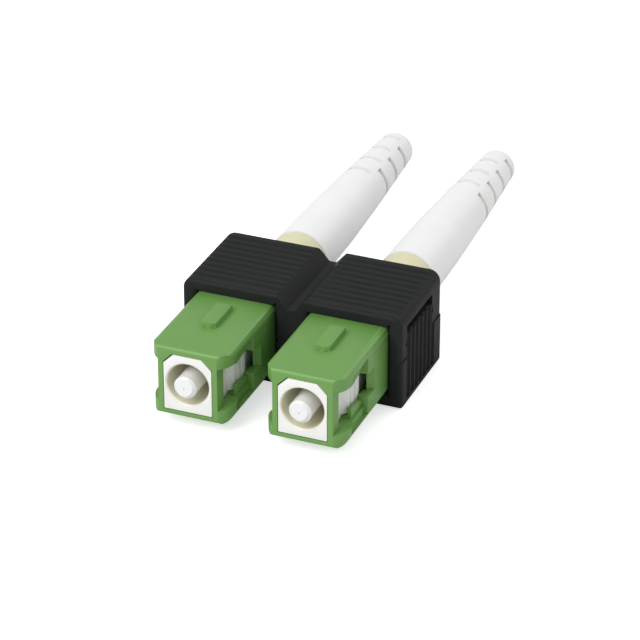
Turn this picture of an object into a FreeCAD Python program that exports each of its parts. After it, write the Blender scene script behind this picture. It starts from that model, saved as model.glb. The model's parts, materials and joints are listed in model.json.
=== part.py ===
"""Duplex SC fibre connector: two push-pull plugs held side by side in one snap-together housing.

Frame: X across the pair, Y from the ferrules (low) to the cable entries (high), Z up.
The origin is under the middle of the part, on the underside of the housing.

Each plug is drawn in its own channel frame, with Y along the ferrule's axis and zero at the front
face of the plug frame. The housing is drawn in the same frame, half-way between the channels.
"""

import FreeCAD, Part
import math
import os

import Sketcher

# Driving dimensions, in millimetres. Slopes are rise over run.
SIZES = {
    # the pair
    "pitch": 12.7,
    "travel": 2.0,
    "end_gap": 0.1,
    # ferrule
    "ferrule_radius": 1.25,
    "ferrule_length": 10.5,
    "ferrule_reach": 1.0,
    "nose_length": 0.45,
    "face_radius": 0.8,
    "polish_slope": 0.1405,
    "fibre_radius": 0.0625,
    "funnel_radius": 0.45,
    "funnel_length": 1.0,
    # ferrule holder
    "flange_radius": 1.95,
    "flange_length": 1.5,
    "flange_bevel": 0.25,
    "cup_radius": 1.5,
    "stem_radius": 1.15,
    "stem_length": 2.6,
    "key_slot_width": 0.7,
    "key_slot_depth": 0.35,
    # guide tube
    "tube_radius": 0.45,
    "tube_bore_radius": 0.25,
    "tube_length": 14.0,
    "tube_gap": 0.05,
    # spring
    "wire_radius": 0.17,
    "coil_gap": 0.1,
    "spring_turns": 4.0,
    "seat_gap": 0.05,
    # plug frame
    "frame_width": 5.33,
    "frame_height": 6.44,
    "frame_chamfer": 1.1,
    "frame_length": 17.5,
    "socket_radius": 2.35,
    "socket_depth": 6.0,
    "socket_lead": 0.15,
    "web_thickness": 0.8,
    "ferrule_gap": 0.12,
    "spring_room_radius": 2.1,
    "pad_reach": 0.6,
    "pad_height": 4.2,
    "pad_ramp": 0.6,
    "shoulder_place": 7.25,
    "hook_recess_length": 1.7,
    "hook_recess_depth": 0.2,
    "pad_groove_width": 0.3,
    "pad_groove_depth": 0.12,
    "pad_groove_pitch": 1.2,
    "stop_width": 6.9,
    "stop_length": 1.6,
    # coupling sleeve
    "sleeve_width": 8.95,
    "sleeve_height": 8.0,
    "sleeve_length": 17.5,
    "sleeve_round": 0.8,
    "slide_gap": 0.1,
    "slot_height": 4.9,
    "slot_length": 8.7,
    "slot_bevel": 0.55,
    "slot_step_place": 6.8,
    "slot_rear_height": 2.7,
    "scoop_height": 6.6,
    "scoop_depth": 0.45,
    "scoop_start": 2.3,
    "scoop_ramp": 1.2,
    "hollow_end": 12.0,
    "pillar_width": 6.6,
    "pillar_length": 1.6,
    "flare_length": 2.3,
    "ledge_depth": 0.72,
    "ledge_start": 3.9,
    "ledge_front_height": 2.5,
    "ledge_back_height": 3.4,
    "front_round": 0.45,
    "key_width": 1.7,
    "key_start": 5.1,
    "key_bow": 0.35,
    "key_length": 5.3,
    "key_height": 0.6,
    "lock_groove_place": 14.4,
    "lock_groove_width": 1.2,
    "lock_groove_depth": 0.4,
    # rear body
    "barrel_radius": 3.2,
    "barrel_end": 30.0,
    "barrel_bevel": 0.3,
    "tube_seat": 2.9,
    "snap_gap": 0.05,
    "fibre_way_radius": 1.0,
    "post_radius": 1.75,
    "post_length": 6.0,
    "barb_root": 1.3,
    "barb_length": 1.2,
    "barb_width": 1.8,
    "barb_reach": 0.7,
    "barb_gap": 0.1,
    # crimp sleeve
    "crimp_wall": 0.3,
    "crimp_gap": 0.05,
    "crimp_length": 5.6,
    # boot
    "boot_length": 30.3,
    "boot_radius": 3.35,
    "boot_belly_radius": 3.2,
    "boot_belly_place": 9.0,
    "boot_waist_radius": 2.8,
    "boot_waist_place": 18.5,
    "boot_tip_radius": 2.1,
    "boot_round": 0.45,
    "cable_radius": 1.5,
    "cable_gap": 0.1,
    "boot_slot_width": 0.9,
    "boot_slot_pitch": 3.4,
    "boot_slot_start": 18.6,
    "boot_slot_wall": 0.25,
    # housing shells
    "housing_width": 25.0,
    "housing_front": 12.2,
    "housing_length": 11.9,
    "housing_over": 5.25,
    "housing_under": 5.5,
    "crest_round": 1.25,
    "foot_round": 0.3,
    "edge_round": 0.45,
    "upper_inset": 0.12,
    "neck_thickness": 1.6,
    "rear_wall": 1.5,
    "neck_gap": 0.2,
    "shell_gap": 0.02,
    "chamber_width": 8.6,
    "chamber_over": 3.7,
    "valley_width": 3.0,
    "valley_lip": 0.25,
    "valley_floor": 0.8,
    "valley_depth": 1.5,
    "top_groove_width": 0.55,
    "top_groove_depth": 0.15,
    "top_groove_pitch": 1.13,
    "top_groove_start": 1.25,
    "top_groove_margin": 1.1,
    "side_groove_width": 0.6,
    "side_groove_depth": 0.2,
    "side_groove_pitch": 1.2,
    "side_groove_start": 1.65,
    "side_groove_base": 0.65,
    "tongue_start": 1.8,
    "tongue_length": 7.2,
    "tongue_height": 2.7,
    "tongue_gap": 0.15,
    "latch_gap": 1.0,
    "catch_level": 1.5,
    "catch_rise": 0.7,
    "catch_reach": 0.35,
    "peg_wall": 0.55,
    "peg_height": 1.5,
    "peg_gap": 0.05,
    "peg_front": 2.2,
    "peg_rear": 9.7,
}

BOOT_SLOTS = 4
SIDE_GROOVES = 7
TOP_GROOVES = 9
PAD_GROOVES = 3
KEY_SLOTS = 2
WIRE_SIDES = 6

document = FreeCAD.newDocument("duplex_connector")
sheet = document.addObject("Spreadsheet::Sheet", "sizes")
for row, (alias, value) in enumerate(SIZES.items(), start=1):
    sheet.set(f"A{row}", alias)
    sheet.set(f"B{row}", str(value))
    sheet.setAlias(f"B{row}", alias)
document.recompute()


def cells(text):
    """Turn a formula of plain aliases into one that reads them from the sheet."""
    words = text.replace("(", " ( ").replace(")", " ) ").split()
    return " ".join(f"sizes.{word}" if word in SIZES else word for word in words)


def number(text):
    """The value of a formula of plain aliases."""
    words = text.replace("(", " ( ").replace(")", " ) ").split()
    filled = " ".join(str(SIZES.get(word, word)) for word in words)
    return float(FreeCAD.Units.Quantity(filled).Value)


def both(first, *rest):
    """Add formulas together, each in its own brackets."""
    return " + ".join(f"( {text} )" for text in (first, *rest))


def minus(text):
    return f"-1 * ( {text} )"


# Stations along the channel that several pieces share.
WEB_BACK = "socket_depth + web_thickness"
PAD_START = "pillar_length + travel + end_gap"
FERRULE_END = "ferrule_length - ferrule_reach"
FLANGE_BACK = both(WEB_BACK, "end_gap + flange_length")
CUP_END = both(FERRULE_END, "end_gap")
STEM_END = both(CUP_END, "stem_length")
SEAT_FRONT = "frame_length - tube_seat"
STOP_FRONT = "frame_length - stop_length"
ROOM_FRONT = both(STOP_FRONT, "-1 * travel", "-1 * end_gap")
POST_END = "barrel_end + post_length"
CRIMP_RADIUS = "post_radius + crimp_gap + crimp_wall"
NECK_FRONT = "sleeve_length + shell_gap"
HOUSING_END = "housing_front + housing_length"
NECK_RADIUS = "barrel_radius + neck_gap"
MIDDLE = "( barrel_end + boot_length - ferrule_reach ) / 2"
BELLY = "barrel_end + boot_belly_place"
WAIST = "barrel_end + boot_waist_place"
PEG_RADIUS = "( pitch - sleeve_width ) / 2 - shell_gap - peg_wall"


class Piece:
    """A PartDesign body with short calls for the features that its pieces need."""

    def __init__(self, label, across="0", turn=0.0):
        self.body = document.addObject("PartDesign::Body", label)
        self.body.Label = label
        self.body.Placement.Rotation = FreeCAD.Rotation(FreeCAD.Vector(0, 1, 0), turn)
        self.body.setExpression(".Placement.Base.x", cells(across))
        self.body.setExpression(".Placement.Base.y", cells(minus(MIDDLE)))
        self.body.setExpression(".Placement.Base.z", cells("housing_under"))

    def origin(self, role):
        return next(item for item in self.body.Origin.OriginFeatures if item.Role == role)

    def sketch(self, plane, offset):
        """An empty sketch on one of the body's planes, moved along the plane's normal."""
        sketch = self.body.newObject("Sketcher::SketchObject", "outline")
        sketch.AttachmentSupport = [(self.origin(plane), "")]
        sketch.MapMode = "FlatFace"
        if offset != "0":
            sketch.setExpression(".AttachmentOffset.Base.z", cells(offset))
        return sketch

    def polygons(self, plane, outlines, offset="0"):
        """A sketch of closed outlines whose corners are held by formulas.

        A corner's third word, if any, is the radius of the arc that leaves it. The arc bows out of
        the outline, or into it if the word starts with a minus.
        """
        sketch = self.sketch(plane, offset)
        for corners in outlines:
            spots = [FreeCAD.Vector(number(corner[0]), number(corner[1]), 0) for corner in corners]
            starts = []
            ends = []
            for k, corner in enumerate(corners):
                after = spots[(k + 1) % len(spots)]
                if len(corner) == 2:
                    side = sketch.addGeometry(Part.LineSegment(spots[k], after), False)
                    forward = True
                else:
                    arc, forward = bow(spots, k, corner[2])
                    side = sketch.addGeometry(arc, False)
                    held = sketch.addConstraint(Sketcher.Constraint("Radius", side, arc.Radius))
                    sketch.setExpression(f"Constraints[{held}]", cells(corner[2].lstrip("- ")))
                starts.append((side, 1 if forward else 2))
                ends.append((side, 2 if forward else 1))
            for k, (along, up) in enumerate(corner[:2] for corner in corners):
                sketch.addConstraint(Sketcher.Constraint("Coincident", *ends[k - 1], *starts[k]))
                for kind, text in (("DistanceX", along), ("DistanceY", up)):
                    place = spots[k].x if kind == "DistanceX" else spots[k].y
                    held = sketch.addConstraint(
                        Sketcher.Constraint(kind, -1, 1, *starts[k], place)
                    )
                    sketch.setExpression(f"Constraints[{held}]", cells(text))
        return sketch

    def rectangle(self, plane, low, high, offset="0"):
        return self.polygons(plane, [box(low, high)], offset)

    def circle(self, plane, radius, offset="0", centre=("0", "0")):
        sketch = self.sketch(plane, offset)
        ring = sketch.addGeometry(
            Part.Circle(FreeCAD.Vector(0, 0, 0), FreeCAD.Vector(0, 0, 1), 1), False
        )
        held = sketch.addConstraint(Sketcher.Constraint("Radius", ring, 1))
        sketch.setExpression(f"Constraints[{held}]", cells(radius))
        for kind, text in (("DistanceX", centre[0]), ("DistanceY", centre[1])):
            held = sketch.addConstraint(Sketcher.Constraint(kind, -1, 1, ring, 3, 0))
            sketch.setExpression(f"Constraints[{held}]", cells(text))
        return sketch

    def extrude(self, kind, sketch, length, reverse=False, symmetric=False):
        feature = self.body.newObject(f"PartDesign::{kind}", kind.lower())
        feature.Profile = (sketch, [""])
        feature.setExpression("Length", cells(length))
        feature.Reversed = reverse
        if symmetric:
            feature.SideType = "Symmetric"
        return feature

    def pad(self, sketch, length, reverse=False, symmetric=False):
        return self.extrude("Pad", sketch, length, reverse, symmetric)

    def pocket(self, sketch, length, reverse=False, symmetric=False):
        return self.extrude("Pocket", sketch, length, reverse, symmetric)

    def turned(self, corners, kind="Revolution"):
        """A profile of (radius, station) corners turned about the channel's axis."""
        sketch = self.polygons("XY_Plane", [corners])
        feature = self.body.newObject(f"PartDesign::{kind}", kind.lower())
        feature.Profile = (sketch, [""])
        feature.ReferenceAxis = (sketch, ["V_Axis"])
        feature.Angle = 360
        return feature

    def repeat(self, feature, count, pitch, axis="Y_Axis"):
        pattern = self.body.newObject("PartDesign::LinearPattern", "pattern")
        pattern.Originals = [feature]
        pattern.Direction = (self.origin(axis), [""])
        pattern.Occurrences = count
        pattern.setExpression("Length", cells(f"( {pitch} ) * {count - 1}"))
        self.body.Tip = pattern
        return pattern

    def around(self, feature, count):
        pattern = self.body.newObject("PartDesign::PolarPattern", "pattern")
        pattern.Originals = [feature]
        pattern.Axis = (self.origin("Y_Axis"), [""])
        pattern.Angle = 360
        pattern.Occurrences = count
        self.body.Tip = pattern
        return pattern

    def finish_edges(self, kind, size, chosen):
        """Fillet or chamfer the edges of the shape so far that a rule picks."""
        document.recompute()
        base = self.body.Tip
        names = [f"Edge{k}" for k, edge in enumerate(base.Shape.Edges, start=1) if chosen(edge)]
        feature = self.body.newObject(f"PartDesign::{kind}", kind.lower())
        feature.Base = (base, names)
        feature.setExpression("Radius" if kind == "Fillet" else "Size", cells(size))
        return feature


def bow(spots, k, radius):
    """The arc that leaves corner k of an outline, and whether it runs from that corner."""
    start = spots[k]
    end = spots[(k + 1) % len(spots)]
    area = sum(spots[i - 1].cross(spots[i]).z for i in range(len(spots)))
    size = number(radius.lstrip("- "))
    chord = end - start
    inward = FreeCAD.Vector(-chord.y, chord.x, 0).normalize() * (1 if area > 0 else -1)
    if radius.startswith("-"):
        inward = -inward
    centre = (start + end) / 2 + inward * (size ** 2 - chord.Length ** 2 / 4) ** 0.5
    circle = Part.Circle(centre, FreeCAD.Vector(0, 0, 1), size)
    forward = (start - centre).cross(end - centre).z > 0
    first, last = (start, end) if forward else (end, start)
    return Part.ArcOfCircle(circle, circle.parameter(first), circle.parameter(last)), forward


def box(low, high):
    """The corners of a rectangle between two opposite corners."""
    return [(low[0], low[1]), (high[0], low[1]), (high[0], high[1]), (low[0], high[1])]


def lies_along(edge, direction):
    """Whether an edge is a straight one in the given direction."""
    ends = [vertex.Point for vertex in edge.Vertexes]
    if len(ends) != 2 or edge.Curve.TypeId != "Part::GeomLine":
        return False
    run = (ends[1] - ends[0]).normalize()
    return abs(run.dot(direction)) > 0.999


ACROSS = FreeCAD.Vector(1, 0, 0)
ALONG = FreeCAD.Vector(0, 1, 0)
UP = FreeCAD.Vector(0, 0, 1)


def chamfered_block(width, height, corner, grow="0"):
    """Corners of the plug frame's section, its two upper corners cut off, grown on every side."""
    half = f"( {width} ) / 2 + {grow}"
    top = f"( {height} ) / 2 + {grow}"
    return [
        (minus(half), minus(top)),
        (half, minus(top)),
        (half, f"{top} - {corner}"),
        (f"{half} - {corner}", top),
        (minus(f"{half} - {corner}"), top),
        (minus(half), f"{top} - {corner}"),
    ]


def ferrule(label, across):
    """Ceramic ferrule: ground nose, angled end face, fibre hole with a funnel behind."""
    piece = Piece(label, across)
    tip = "-1 * ferrule_reach"
    piece.turned([
        ("fibre_radius", tip),
        ("face_radius", tip),
        ("ferrule_radius", f"{tip} + nose_length"),
        ("ferrule_radius", FERRULE_END),
        ("funnel_radius", FERRULE_END),
        ("fibre_radius", both(FERRULE_END, "-1 * funnel_length")),
    ])
    wedge = piece.polygons("YZ_Plane", [[
        (tip, minus("ferrule_radius")),
        (f"{tip} - ferrule_radius", minus("ferrule_radius")),
        (f"{tip} - ferrule_radius", "ferrule_radius"),
        (f"{tip} + ( ferrule_radius + face_radius ) * polish_slope", "ferrule_radius"),
        (tip, minus("face_radius")),
    ]])
    piece.pocket(wedge, "4 * ferrule_radius", symmetric=True)
    return piece


def ferrule_holder(label, across):
    """Metal flange pressed on the ferrule, notched so that the frame can hold its turn."""
    piece = Piece(label, across)
    front = both(WEB_BACK, "end_gap")
    piece.turned([
        ("ferrule_radius", front),
        ("flange_radius - flange_bevel", front),
        ("flange_radius", both(front, "flange_bevel")),
        ("flange_radius", FLANGE_BACK),
        ("cup_radius", FLANGE_BACK),
        ("cup_radius", CUP_END),
        ("stem_radius", CUP_END),
        ("stem_radius", STEM_END),
        ("tube_radius + tube_gap", STEM_END),
        ("tube_radius + tube_gap", FERRULE_END),
        ("ferrule_radius", FERRULE_END),
    ])
    slot = piece.rectangle(
        "XZ_Plane",
        ("-1 * key_slot_width / 2", "flange_radius - key_slot_depth"),
        ("key_slot_width / 2", "flange_radius + key_slot_depth"),
        minus(front),
    )
    notch = piece.pocket(slot, "flange_length")
    piece.around(notch, KEY_SLOTS)
    return piece


def guide_tube(label, across):
    """Thin plastic tube that leads the fibre into the back of the ferrule holder."""
    piece = Piece(label, across)
    start = both(FERRULE_END, "seat_gap")
    end = both(start, "tube_length")
    piece.turned([
        ("tube_bore_radius", start),
        ("tube_radius", start),
        ("tube_radius", end),
        ("tube_bore_radius", end),
    ])
    return piece


def spring(label, across):
    """Compression spring between the holder's flange and the rear body."""
    piece = Piece(label, across)
    coil = "spring_room_radius - coil_gap - wire_radius"
    start = both(FLANGE_BACK, "seat_gap + wire_radius")
    end = both(SEAT_FRONT, "-1 * ( seat_gap + wire_radius )")
    section = piece.polygons("XY_Plane", [[
        (
            f"{coil} + wire_radius * {math.cos(turn):.4f}",
            both(start, f"wire_radius * {math.sin(turn):.4f}"),
        )
        for turn in (math.tau * corner / WIRE_SIDES for corner in range(WIRE_SIDES))
    ]])
    helix = piece.body.newObject("PartDesign::AdditiveHelix", "coil")
    helix.Profile = (section, [""])
    helix.ReferenceAxis = (section, ["V_Axis"])
    helix.Mode = "height-turns-angle"
    helix.setExpression("Height", cells(both(end, minus(start))))
    helix.setExpression("Turns", cells("spring_turns"))
    return piece


def plug_frame(label, across):
    """Inner frame: round socket in front, hook shoulders at the sides, stop flange at the rear."""
    piece = Piece(label, across)
    section = chamfered_block("frame_width", "frame_height", "frame_chamfer")
    piece.pad(piece.polygons("XZ_Plane", [section]), "frame_length", reverse=True)
    reach = "frame_width / 2 + pad_reach"
    pads = [
        (reach, both(PAD_START, "pad_ramp")),
        (reach, "shoulder_place"),
        (minus(reach), "shoulder_place"),
        (minus(reach), both(PAD_START, "pad_ramp")),
        ("-1 * frame_width / 2", PAD_START),
        ("frame_width / 2", PAD_START),
    ]
    piece.pad(piece.polygons("XY_Plane", [pads]), "pad_height", symmetric=True)
    stop = piece.rectangle(
        "XZ_Plane",
        ("-1 * stop_width / 2", "-1 * frame_height / 2"),
        ("stop_width / 2", "frame_height / 2 - frame_chamfer"),
        minus(STOP_FRONT),
    )
    piece.pad(stop, "stop_length", reverse=True)
    recess_depth = "frame_width / 2 - hook_recess_depth"
    recess_end = "shoulder_place + hook_recess_length"
    wide = "stop_width / 2"
    recesses = [
        box((recess_depth, "shoulder_place"), (wide, recess_end)),
        box((minus(wide), "shoulder_place"), (minus(recess_depth), recess_end)),
    ]
    piece.pocket(piece.polygons("XY_Plane", recesses), "pad_height", symmetric=True)
    groove_front = "shoulder_place - pad_groove_pitch"
    groove_depth = f"{reach} - pad_groove_depth"
    groove_back = both(groove_front, "pad_groove_width")
    grooves = [
        box((groove_depth, groove_front), (wide, groove_back)),
        box((minus(wide), groove_front), (minus(groove_depth), groove_back)),
    ]
    cut = piece.pocket(piece.polygons("XY_Plane", grooves), "pad_height", symmetric=True)
    piece.repeat(cut, PAD_GROOVES, "pad_groove_pitch").Reversed = True
    piece.turned([
        ("0", minus("socket_depth")),
        ("socket_radius + socket_lead", minus("socket_depth")),
        ("socket_radius + socket_lead", "0"),
        ("socket_radius", "socket_lead"),
        ("socket_radius", "socket_depth"),
        ("ferrule_radius + ferrule_gap", "socket_depth"),
        ("ferrule_radius + ferrule_gap", WEB_BACK),
        ("spring_room_radius", WEB_BACK),
        ("spring_room_radius", "2 * frame_length"),
        ("0", "2 * frame_length"),
    ], "Groove")
    window = piece.rectangle(
        "XY_Plane",
        ("-1 * ( barb_width / 2 + barb_gap )", both(STOP_FRONT, "-1 * ( barb_length + barb_gap )")),
        ("barb_width / 2 + barb_gap", both(STOP_FRONT, "barb_gap")),
    )
    piece.pocket(window, "2 * frame_height", symmetric=True)
    return piece


def sleeve(label, across):
    """Coupling sleeve: square tube with side windows, flared front flanges and a key on top."""
    piece = Piece(label, across)
    half = "sleeve_width / 2"
    top = "sleeve_height / 2"
    outer = piece.rectangle("XZ_Plane", (minus(half), minus(top)), (half, top))
    piece.pad(outer, "sleeve_length", reverse=True)
    piece.finish_edges("Fillet", "sleeve_round", lambda edge: lies_along(edge, ALONG))
    piece.finish_edges("Fillet", "front_round", lambda edge: edge.BoundBox.YMax < 0.001)
    cavity = chamfered_block("frame_width", "frame_height", "frame_chamfer", "slide_gap")
    piece.pocket(piece.polygons("XZ_Plane", [cavity]), "sleeve_length")
    room = piece.rectangle(
        "XZ_Plane",
        ("-1 * ( stop_width / 2 + slide_gap )", "-1 * ( frame_height / 2 + slide_gap )"),
        ("stop_width / 2 + slide_gap", "frame_height / 2 + slide_gap"),
        minus(ROOM_FRONT),
    )
    piece.pocket(room, "sleeve_length")
    pillar = "pillar_width / 2"
    ledge = f"{half} - ledge_depth"
    room_side = "frame_width / 2 + pad_reach + slide_gap"
    slot_back = "slot_length - slot_bevel"
    reach = f"( {half} - {pillar} )"
    flare_radius = f"( {reach} ^ 2 + flare_length ^ 2 ) / ( 2 * {reach} )"
    pad_room = []
    hollows = []
    slots = []
    windows = []
    flares = []
    scoops = []
    for sign in ("1", "-1"):
        beyond = f"{sign} * sleeve_width"
        pad_room.append(box(("0", "pillar_length"), (f"{sign} * ( {room_side} )", slot_back)))
        hollows.append(box(("0", slot_back), (f"{sign} * ( {ledge} )", "hollow_end")))
        slots.append([
            (f"{sign} * ( {ledge} )", "pillar_length"),
            (f"{sign} * ( {ledge} )", "slot_step_place"),
            (beyond, "slot_step_place"),
            (beyond, "-1 * pillar_length"),
            (f"{sign} * ( {pillar} )", "-1 * pillar_length"),
            (f"{sign} * ( {pillar} )", "pillar_length"),
        ])
        windows.append([
            (f"{sign} * ( {ledge} )", "slot_step_place"),
            (f"{sign} * ( {ledge} )", slot_back),
            (f"{sign} * ( {half} )", "slot_length"),
            (beyond, "slot_length"),
            (beyond, "slot_step_place"),
        ])
        flares.append([
            (f"{sign} * ( {pillar} )", "-1 * pillar_length"),
            (f"{sign} * ( {pillar} )", "0", f"- {flare_radius}"),
            (f"{sign} * ( {half} )", "flare_length"),
            (beyond, "flare_length"),
            (beyond, "-1 * pillar_length"),
        ])
        scoops.append([
            (f"{sign} * ( {half} )", "scoop_start"),
            (f"{sign} * ( {half} - scoop_depth )", "scoop_start + scoop_ramp"),
            (f"{sign} * ( {half} - scoop_depth )", "slot_step_place"),
            (beyond, "slot_step_place"),
            (beyond, "scoop_start"),
        ])
    room_height = "pad_height + 2 * slide_gap"
    for outlines, height in (
        (pad_room, room_height),
        (hollows, room_height),
        (slots, "slot_height"),
        (windows, "slot_rear_height"),
        (flares, "2 * sleeve_height"),
        (scoops, "scoop_height"),
    ):
        piece.pocket(piece.polygons("XY_Plane", outlines), height, symmetric=True)
    profile = [
        ("pillar_length", "slot_height / 2"),
        ("ledge_start", "slot_height / 2"),
        ("ledge_start", "ledge_front_height / 2"),
        ("slot_step_place", "ledge_back_height / 2"),
        ("slot_step_place", "slot_rear_height / 2"),
        (slot_back, "slot_rear_height / 2"),
    ]
    mirrored = [(station, minus(level)) for station, level in reversed(profile)]
    ledges = piece.polygons("YZ_Plane", [profile + mirrored])
    piece.pocket(ledges, "2 * sleeve_width", symmetric=True)
    key_side = "key_width / 2"
    key_radius = f"( ( {key_side} ) ^ 2 + key_bow ^ 2 ) / ( 2 * key_bow )"
    key = piece.polygons("XY_Plane", [[
        (f"-1 * {key_side}", "key_start + key_bow", key_radius),
        (key_side, "key_start + key_bow"),
        (key_side, "key_start + key_length"),
        (f"-1 * {key_side}", "key_start + key_length"),
    ]], top)
    piece.pad(key, "key_height")
    grooves = []
    for sign in ("1", "-1"):
        grooves.append(box(
            (f"{sign} * ( {half} - lock_groove_depth )", "lock_groove_place"),
            (f"{sign} * sleeve_width", "lock_groove_place + lock_groove_width"),
        ))
    piece.pocket(piece.polygons("XY_Plane", grooves), "2 * sleeve_height", symmetric=True)
    return piece


def rear_body(label, across):
    """Rear body: tube that snaps into the frame, the barrel behind the housing, and the post."""
    piece = Piece(label, across)
    tube = "spring_room_radius - snap_gap"
    piece.turned([
        ("fibre_way_radius", SEAT_FRONT),
        (tube, SEAT_FRONT),
        (tube, "frame_length"),
        ("barrel_radius - barrel_bevel", "frame_length"),
        ("barrel_radius", "frame_length + barrel_bevel"),
        ("barrel_radius", "barrel_end"),
        ("post_radius", "barrel_end"),
        ("post_radius", POST_END),
        ("fibre_way_radius", POST_END),
    ])
    for side, below in (("1", False), ("-1", True)):
        barb = piece.rectangle(
            "XY_Plane",
            ("-1 * barb_width / 2", both(STOP_FRONT, "-1 * barb_length")),
            ("barb_width / 2", STOP_FRONT),
            f"{side} * barb_root",
        )
        piece.pad(barb, "spring_room_radius + barb_reach - barb_root", reverse=below)
    return piece


def crimp_sleeve(label, across):
    """Metal sleeve that grips the cable's yarn on the rear body's post."""
    piece = Piece(label, across)
    start = both("barrel_end", "end_gap")
    end = both(start, "crimp_length")
    piece.turned([
        ("post_radius + crimp_gap", start),
        (CRIMP_RADIUS, start),
        (CRIMP_RADIUS, end),
        ("post_radius + crimp_gap", end),
    ])
    return piece


def boot(label, across, turn):
    """Bend-relief boot: tapered tube with staggered cross slots in its tail."""
    piece = Piece(label, across, turn)
    end = "barrel_end + boot_length"
    socket = f"{CRIMP_RADIUS} + crimp_gap"
    socket_end = both(POST_END, "end_gap")
    piece.turned([
        (socket, "barrel_end"),
        ("boot_radius", "barrel_end"),
        ("boot_belly_radius", BELLY),
        ("boot_waist_radius", WAIST),
        ("boot_tip_radius", f"{end} - boot_round", "boot_round"),
        ("boot_tip_radius - boot_round", end),
        ("cable_radius + cable_gap", end),
        ("cable_radius + cable_gap", socket_end),
        (socket, socket_end),
    ])
    floor = "cable_radius + cable_gap + boot_slot_wall"
    for plane, start, swap in (
        ("XY_Plane", "barrel_end + boot_slot_start", False),
        ("YZ_Plane", "barrel_end + boot_slot_start + boot_slot_pitch / 2", True),
    ):
        outlines = []
        for sign in ("1", "-1"):
            inner = f"{sign} * ( {floor} )"
            beyond = f"{sign} * 2 * boot_radius"
            stop = f"{start} + boot_slot_width"
            if swap:
                outlines.append(box((start, inner), (stop, beyond)))
            else:
                outlines.append(box((inner, start), (beyond, stop)))
        cut = piece.pocket(piece.polygons(plane, outlines), "4 * boot_radius", symmetric=True)
        piece.repeat(cut, BOOT_SLOTS, "boot_slot_pitch")
    return piece


def shell(label, upper):
    """One half of the housing, with a pocket, neck and chamber for each channel."""
    piece = Piece(label)
    side = "1" if upper else "-1"
    height = "housing_over" if upper else "housing_under"
    half = "housing_width / 2 - upper_inset" if upper else "housing_width / 2"

    def level(text):
        return f"{side} * ( {text} )"

    slope = [
        (half, level(height)),
        ("valley_width / 2 + valley_lip", level(height)),
        ("valley_width / 2", level(f"{height} - valley_lip")),
        ("valley_floor / 2", level(f"{height} - valley_depth")),
    ]
    mirrored = [(minus(across), up) for across, up in reversed(slope)]
    valley = [(minus(half), "0"), (half, "0"), *slope, *mirrored]
    block = piece.polygons("XZ_Plane", [valley], "-1 * housing_front")
    piece.pad(block, "housing_length", reverse=True)
    face = number(height)
    flank = number(half)

    def at_face(edge):
        bounds = edge.BoundBox
        return bounds.ZLength < 0.01 and abs(abs(bounds.ZMin) - face) < 0.01

    def at_flank(edge):
        bounds = edge.BoundBox
        return bounds.XLength < 0.01 and abs(abs(bounds.XMin) - flank) < 0.01

    def crest(edge):
        return lies_along(edge, ALONG) and at_face(edge) and at_flank(edge)

    def rim(edge):
        across = lies_along(edge, ACROSS) and at_face(edge)
        upright = lies_along(edge, UP) and at_flank(edge)
        return across or upright

    piece.finish_edges("Fillet", "crest_round" if upper else "foot_round", crest)
    piece.finish_edges("Fillet", "edge_round", rim)
    pockets = []
    chambers = []
    for sign in ("1", "-1"):
        centre = f"{sign} * pitch / 2"
        reach = "sleeve_width / 2 + shell_gap"
        pockets.append(box(
            (f"{centre} - ( {reach} )", "-1 * ( sleeve_height / 2 + shell_gap )"),
            (f"{centre} + {reach}", "sleeve_height / 2 + shell_gap"),
        ))
        chambers.append(box(
            (f"{centre} - chamber_width / 2", "-1 * chamber_over"),
            (f"{centre} + chamber_width / 2", "chamber_over"),
        ))
    front = piece.polygons("XZ_Plane", pockets, "-1 * housing_front")
    piece.pocket(front, both(NECK_FRONT, "-1 * housing_front"))
    chamber_start = both(NECK_FRONT, "neck_thickness")
    middle = piece.polygons("XZ_Plane", chambers, minus(chamber_start))
    piece.pocket(middle, both(HOUSING_END, "-1 * rear_wall", minus(chamber_start)))
    for sign in ("1", "-1"):
        neck = piece.circle(
            "XZ_Plane", NECK_RADIUS, minus(NECK_FRONT), (f"{sign} * pitch / 2", "0")
        )
        piece.pocket(neck, "housing_length")
    for sign in ("1", "-1"):
        for inward in ("1", "-1"):
            wall = f"{sign} * ( pitch / 2 + {inward} * ( sleeve_width / 2 + shell_gap ) )"
            crest_of_rib = (
                f"{sign} * ( pitch / 2 + {inward} * "
                "( sleeve_width / 2 - lock_groove_depth + shell_gap ) )"
            )
            rib = piece.rectangle(
                "XY_Plane",
                (wall, "lock_groove_place + shell_gap"),
                (crest_of_rib, "lock_groove_place + lock_groove_width - shell_gap"),
            )
            piece.pad(rib, "sleeve_height / 2", reverse=not upper)
    groove_start = both("housing_front", "top_groove_start")
    stripes = []
    for sign in ("1", "-1"):
        stripes.append(box(
            (f"{sign} * ( valley_width / 2 )", groove_start),
            (f"{sign} * ( {half} - top_groove_margin )", both(groove_start, "top_groove_width")),
        ))
    floor = level(f"{height} - top_groove_depth")
    grooves = piece.pocket(
        piece.polygons("XY_Plane", stripes, floor), "2 * top_groove_depth", reverse=upper
    )
    piece.repeat(grooves, TOP_GROOVES, "top_groove_pitch")
    return piece


def tongue_outline(gap, top):
    """Outline of a snap tongue from the side, with a catch at each end, grown by a gap."""
    start = both("housing_front", "tongue_start", f"-1 * {gap}")
    end = both("housing_front", "tongue_start", "tongue_length", gap)
    low = f"catch_level - {gap}"
    high = f"catch_level + catch_rise + {gap}"
    return [
        (start, "0"),
        (start, low),
        (both(start, "-1 * catch_reach"), low),
        (start, high),
        (start, top),
        (end, top),
        (end, high),
        (both(end, "catch_reach"), low),
        (end, low),
        (end, "0"),
    ]


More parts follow.
